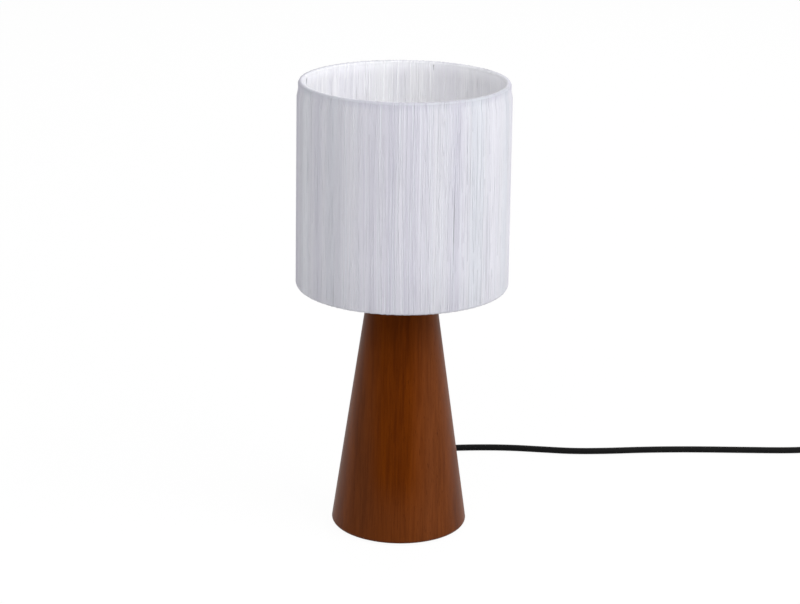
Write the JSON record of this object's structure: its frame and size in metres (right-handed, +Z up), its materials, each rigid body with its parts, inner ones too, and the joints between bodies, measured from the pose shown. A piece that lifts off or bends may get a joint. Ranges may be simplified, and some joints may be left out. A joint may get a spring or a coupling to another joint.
{
  "type": "table lamp",
  "caption": "Table lamp with an open drum shade of wound white string on a turned, stained wooden cone, with a bulb, a black mains lead, an in-line switch and a plug.",
  "frame": {"origin": "middle of the foot, on the surface that the lamp stands on", "axes": "+Z up along the lamp's axis, +Y towards the back where the lead leaves, +X to the right"},
  "size_m": [0.6881, 0.2758, 0.394],
  "materials": {
    "stained_wood": "satin walnut stain, fine straight grain",
    "felt": "short black felt",
    "zinc_steel": "zinc plated",
    "black_rubber": "matt moulded",
    "black_plastic": "fine moulded texture",
    "rocker_plastic": "half gloss",
    "lead_sheath": "smooth flexible sheath",
    "core_sleeve": "smooth sleeve",
    "holder_ceramic": "pressed insulating block",
    "nickel_sheet": "thin bright sheet",
    "brass": "bare",
    "nickel_pin": "nickel plated",
    "shade_wire": "white powder coat",
    "paper_string": "twisted paper yarn, matt",
    "black_glass": "glossy insulator",
    "white_plastic": "satin",
    "board_metal": "white lacquered board",
    "opal_plastic": "opal, frosted"
  },
  "bodies": {
    "lamp": {"wood_base": "stained_wood", "felt_pad": "felt", "threaded_rod": "zinc_steel", "lower_washer": "zinc_steel", "lock_washer": "zinc_steel", "hex_nut": "zinc_steel", "neck_washer": "zinc_steel", "lead_grommet": "black_rubber", "cable_tie": "black_plastic", "lead_inside": "lead_sheath", "lead_cores": "core_sleeve", "holder_cap": "black_plastic", "grub_screw": "zinc_steel", "holder_shell": "black_plastic", "holder_core": "holder_ceramic", "screw_sleeve": "nickel_sheet", "centre_contact": "brass", "terminals": "brass", "terminal_screws": "zinc_steel", "retaining_ring": "black_plastic", "lead_run": "lead_sheath", "lead_feed": "lead_sheath", "lead_coil": "lead_sheath", "lead_tail": "lead_sheath", "coil_tie": "black_plastic", "switch_base": "black_plastic", "switch_cover": "black_plastic", "switch_screws": "zinc_steel", "switch_contacts": "brass", "switch_cores": "core_sleeve", "plug_body": "black_rubber", "plug_pins": "nickel_pin", "pin_sleeves": "black_plastic"},
    "shade": {"top_ring": "shade_wire", "bottom_ring": "shade_wire", "shade_struts": "shade_wire", "shade_spokes": "shade_wire", "fitter_ring": "shade_wire", "string_wrap": "paper_string"},
    "bulb_lift_body": {"bulb_tip": "zinc_steel"},
    "bulb": {"bulb_insulator": "black_glass", "bulb_cap": "nickel_sheet", "bulb_body": "white_plastic", "led_board": "board_metal", "bulb_diffuser": "opal_plastic"},
    "rocker": {"switch_rocker": "rocker_plastic"}
  },
  "joints": [
    {"name": "shade_turn", "type": "hinge", "parent": "lamp", "child": "shade", "pos_m": [0, 0, 0.2295], "axis": [0, 0, 1], "continuous": true},
    {"name": "bulb_lift", "type": "slide", "parent": "lamp", "child": "bulb_lift_body", "axis": [0, 0, 1], "range_m": [0, 0.0146]},
    {"name": "bulb_turn", "type": "hinge", "parent": "bulb_lift_body", "child": "bulb", "pos_m": [0, 0, 0.25], "axis": [0, 0, 1], "range_deg": [0, 1440]},
    {"name": "rocker_rock", "type": "hinge", "parent": "lamp", "child": "rocker", "pos_m": [0.45, 0.172, 0.0155], "axis": [0, 1, 0], "range_deg": [0, 16]}
  ],
  "couplings": [
    {"joint": "bulb_lift", "follows": "bulb_turn", "m_per_rad": 0.00057773}
  ]
}
